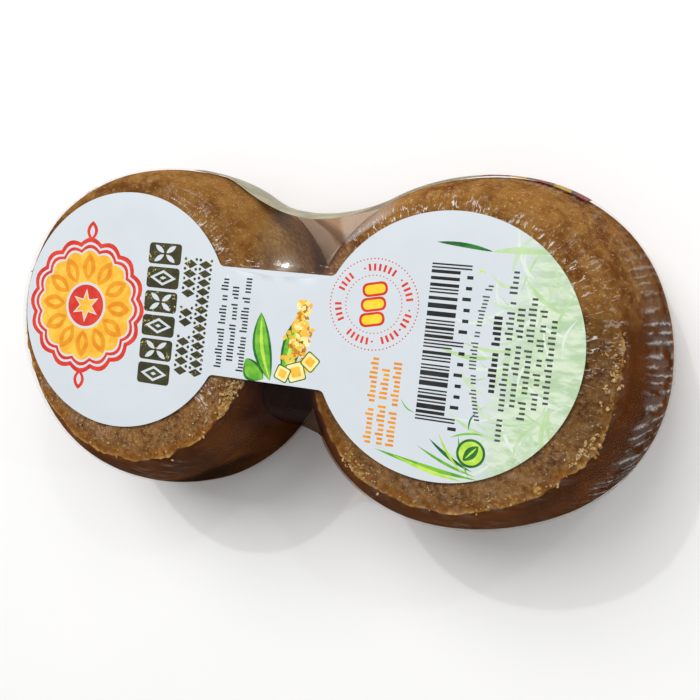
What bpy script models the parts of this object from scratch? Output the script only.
"""Two round cakes of panela side by side in clear shrink film, with one label across both.

Units are metres and +Z is up. The pack lies on its base with the label on top. +X runs from one
cake to the other. The origin is the middle of the footprint, at the height of the base.
"""

import math

import bmesh
import bpy

MM = 0.001
GAP = 0.3  # between neighbouring pieces, in millimetres as all sizes here

# Cakes: domes with a small upper face, widest low down, standing on a large flat base.
CAKE_RADIUS = 39.4
CAKE_HEIGHT = 37.0
FACE_RADIUS = 31.2
FACE_CROWN = 0.95
WIDEST_DEPTH = 26.9
BASE_RADIUS = 32.9
CAKE_SPACING = 78.1
CAKE_SKEW = 1.1
FACE_POWER = 6.0
SHOULDER_POWER = 1.8
FOOT_POWER = 2.5
RIM_CRUMBLE = 0.22
SIDES = 64

# Each cake was poured by hand: where its upper face leans to, and the slow waves of its outline,
# as (waves round the cake, share of the radius, degrees of a crest).
CAKES = {
    "panela_left": {
        "side": -1,
        "lean": (-0.9, 0.8),
        "waves": ((2, 0.018, 90.0), (3, 0.014, 37.0)),
    },
    "panela_right": {
        "side": 1,
        "lean": (-4.2, -0.7),
        "waves": ((2, 0.014, 81.0), (3, 0.007, 0.0), (4, 0.013, -34.0)),
    },
}

# Label: two discs joined by a bridge.
LABEL_RADIUS = 27.0
LABEL_SPACING = 74.9
LABEL_OFFSET = (-5.3, 1.8)
LABEL_THICKNESS = 0.35
BRIDGE_HALF_WIDTH = 12.0
BRIDGE_FILLET = 1.5

# Film between the cakes: a saddle, fuller on one side than on the other.
WAIST_HALF_WIDTH = {1: 28.8, -1: 20.5}
WAIST_BOTTOM = 0.6
WAIST_TOP = 35.9
WAIST_POWER = 2.6
WAIST_INSET = 1.5
WAIST_HALF_LENGTH = 20.0
WAIST_STATIONS = 17
WAIST_SIDES = 44

COLOURS = {
    "panela": ((0.19, 0.075, 0.022), 0.55),
    "film": ((0.62, 0.58, 0.52), 0.12),
    "label": ((0.78, 0.82, 0.85), 0.45),
}


def clear_scene():
    for thing in list(bpy.data.objects):
        bpy.data.objects.remove(thing)


def material(name):
    colour, roughness = COLOURS[name]
    made = bpy.data.materials.new(name)
    made.use_nodes = True
    shader = made.node_tree.nodes["Principled BSDF"]
    shader.inputs["Base Color"].default_value = (*colour, 1.0)
    shader.inputs["Roughness"].default_value = roughness
    shader.inputs["Metallic"].default_value = 0.0
    return made


def new_object(name, mesh_maker, surface, parent, place=(0.0, 0.0)):
    """An object whose bmesh, in millimetres, was filled by mesh_maker."""
    shape = mesh_maker()
    bmesh.ops.recalc_face_normals(shape, faces=shape.faces)
    bmesh.ops.scale(shape, vec=(MM, MM, MM), verts=shape.verts)
    mesh = bpy.data.meshes.new(name)
    shape.to_mesh(mesh)
    shape.free()
    mesh.materials.append(surface)
    mesh.shade_smooth()
    mesh.set_sharp_from_angle(angle=math.radians(35))
    made = bpy.data.objects.new(name, mesh)
    made.location = (place[0] * MM, place[1] * MM, 0.0)
    made.parent = parent
    bpy.context.scene.collection.objects.link(made)
    return made


def superellipse(turn, power):
    """Across and along shares of a quarter superellipse, from (0, 1) at turn 0 to (1, 0)."""
    return math.sin(turn) ** (2.0 / power), math.cos(turn) ** (2.0 / power)


def cake_levels():
    """(radius, height, lean share, crumble share) of each ring, from the upper face to the base."""
    levels = []
    for share in (0.35, 0.65, 0.85, 0.95, 1.0):
        height = CAKE_HEIGHT - FACE_CROWN * share**FACE_POWER
        levels.append((FACE_RADIUS * share, height, 1.0, max(0.0, share - 0.85) / 0.15))
    shoulder_steps, foot_steps = 7, 5
    rim_height = CAKE_HEIGHT - FACE_CROWN
    widest_height = CAKE_HEIGHT - WIDEST_DEPTH
    for step in range(1, shoulder_steps + 1):
        out, up = superellipse(step / shoulder_steps * math.pi / 2, SHOULDER_POWER)
        radius = FACE_RADIUS + (CAKE_RADIUS - FACE_RADIUS) * out
        height = widest_height + (rim_height - widest_height) * up
        levels.append((radius, height, up, 0.3 if step == 1 else 0.0))
    for step in range(1, foot_steps + 1):
        down, out = superellipse(step / foot_steps * math.pi / 2, FOOT_POWER)
        radius = BASE_RADIUS + (CAKE_RADIUS - BASE_RADIUS) * out
        levels.append((radius, widest_height * (1.0 - down), 0.0, 0.0))
    return levels


def crumble(turn, side):
    """The broken edge round the upper face, as a share from about -1 to 1."""
    waves = ((7, 0.5, 0.4), (11, 0.3, 1.9), (17, 0.2, 4.1))
    return sum(size * math.cos(count * turn + side * start) for count, size, start in waves)


def cake(side, lean, waves, grow=0.0):
    """One closed body of rings, made larger all round by grow."""
    shape = bmesh.new()
    rings = []
    middle = CAKE_HEIGHT / 2
    for radius, height, lean_share, crumble_share in cake_levels():
        ring = []
        for step in range(SIDES):
            turn = 2.0 * math.pi * step / SIDES
            wave = sum(
                size * math.cos(count * (turn - math.radians(crest)))
                for count, size, crest in waves
            )
            rough = RIM_CRUMBLE * crumble_share * crumble(turn, side)
            reach = (radius + rough) * (1.0 + wave) + grow
            level = height + rough + math.copysign(grow, height - middle)
            x = reach * math.cos(turn) + lean[0] * lean_share
            y = reach * math.sin(turn) + lean[1] * lean_share
            ring.append(shape.verts.new((x, y, level)))
        rings.append(ring)
    for upper, lower in zip(rings, rings[1:]):
        join_rings(shape, upper, lower)
    top = shape.verts.new((lean[0], lean[1], CAKE_HEIGHT + grow))
    fan(shape, rings[0], top)
    shape.faces.new(rings[-1])
    return shape


def join_rings(shape, first, second):
    for here in range(len(first)):
        there = (here + 1) % len(first)
        shape.faces.new((first[here], first[there], second[there], second[here]))


def fan(shape, ring, tip):
    for here in range(len(ring)):
        shape.faces.new((ring[here], ring[(here + 1) % len(ring)], tip))


def arc(centre, radius, start, end, steps):
    """Points from start to end degrees, both included."""
    points = []
    for step in range(steps + 1):
        turn = math.radians(start + (end - start) * step / steps)
        points.append((centre[0] + radius * math.cos(turn), centre[1] + radius * math.sin(turn)))
    return points


def label_outline():
    """The right half from the lower fillet round to the upper one, then the same turned half round."""
    reach = LABEL_RADIUS + BRIDGE_FILLET
    rise = BRIDGE_HALF_WIDTH + BRIDGE_FILLET
    meet = math.degrees(math.asin(rise / reach))
    disc = LABEL_SPACING / 2
    neck = disc - reach * math.cos(math.radians(meet))
    half = arc((neck, -rise), BRIDGE_FILLET, 90, meet, 3)[:-1]
    half += arc((disc, 0.0), LABEL_RADIUS, meet - 180, 180 - meet, 52)
    half += arc((neck, rise), BRIDGE_FILLET, -meet, -90, 3)[1:]
    return half + [(-x, -y) for x, y in half]


def label():
    """A flat plate just above the cakes' upper faces."""
    shape = bmesh.new()
    base = CAKE_HEIGHT + GAP
    lower = [shape.verts.new((x, y, base)) for x, y in label_outline()]
    face = shape.faces.new(lower)
    raised = bmesh.ops.extrude_face_region(shape, geom=[face])["geom"]
    moved = [item for item in raised if isinstance(item, bmesh.types.BMVert)]
    bmesh.ops.translate(shape, vec=(0.0, 0.0, LABEL_THICKNESS), verts=moved)
    return shape


def waist_half_width(x, narrowest):
    """How far the film stands out at x: an arc between the cakes, then a circle inside a cake."""
    circle = CAKE_RADIUS - WAIST_INSET
    half = CAKE_SPACING / 2
    fillet = (half**2 + narrowest**2 - circle**2) / (2.0 * (circle - narrowest))
    if abs(x) < half * fillet / (circle + fillet):
        return narrowest + fillet - math.sqrt(fillet**2 - x**2)
    return math.sqrt(circle**2 - (half - abs(x)) ** 2)


def waist():
    """A closed tube of rings along X. Its ends lie inside the cakes and are cut away."""
    shape = bmesh.new()
    middle = (WAIST_TOP + WAIST_BOTTOM) / 2
    half_height = (WAIST_TOP - WAIST_BOTTOM) / 2
    rings = []
    for station in range(WAIST_STATIONS):
        x = WAIST_HALF_LENGTH * (2.0 * station / (WAIST_STATIONS - 1) - 1.0)
        ring = []
        for step in range(WAIST_SIDES):
            turn = 2.0 * math.pi * (step + 0.5) / WAIST_SIDES
            quarter = turn % (math.pi / 2)
            if turn % math.pi >= math.pi / 2:
                quarter = math.pi / 2 - quarter
            up, out = superellipse(quarter, WAIST_POWER)
            hand = 1 if math.cos(turn) > 0 else -1
            width = waist_half_width(x, WAIST_HALF_WIDTH[hand])
            level = middle + math.copysign(half_height * up, math.sin(turn))
            ring.append(shape.verts.new((x, hand * width * out, level)))
        rings.append(ring)
    for first, second in zip(rings, rings[1:]):
        join_rings(shape, first, second)
    shape.faces.new(rings[0])
    shape.faces.new(rings[-1])
    return shape


def cake_place(side):
    return side * CAKE_SPACING / 2, side * CAKE_SKEW


def cut(target, cutter):
    cutter.hide_render = True
    cutter.display_type = "WIRE"
    boolean = target.modifiers.new(cutter.name, "BOOLEAN")
    boolean.operation = "DIFFERENCE"
    boolean.solver = "EXACT"
    boolean.object = cutter


def centre_on_footprint(pack, cakes):
    """Moves the whole pack so that the middle of its footprint is at the origin."""
    bpy.context.view_layer.update()
    corners = [one.matrix_world @ vertex.co for one in cakes for vertex in one.data.vertices]
    for axis in (0, 1):
        low = min(corner[axis] for corner in corners)
        high = max(corner[axis] for corner in corners)
        pack.location[axis] = -(low + high) / 2


def main():
    clear_scene()
    pack = bpy.data.objects.new("pack", None)
    bpy.context.scene.collection.objects.link(pack)
    panela = material("panela")
    film = new_object("film_waist", waist, material("film"), pack)
    cakes = []
    for name, make in CAKES.items():
        place = cake_place(make["side"])
        cakes.append(new_object(name, lambda: cake(**make), panela, pack, place))
        cutter = new_object("cut_" + name, lambda: cake(**make, grow=GAP), panela, pack, place)
        cut(film, cutter)
    new_object("label", label, material("label"), pack, LABEL_OFFSET)
    centre_on_footprint(pack, cakes)


main()
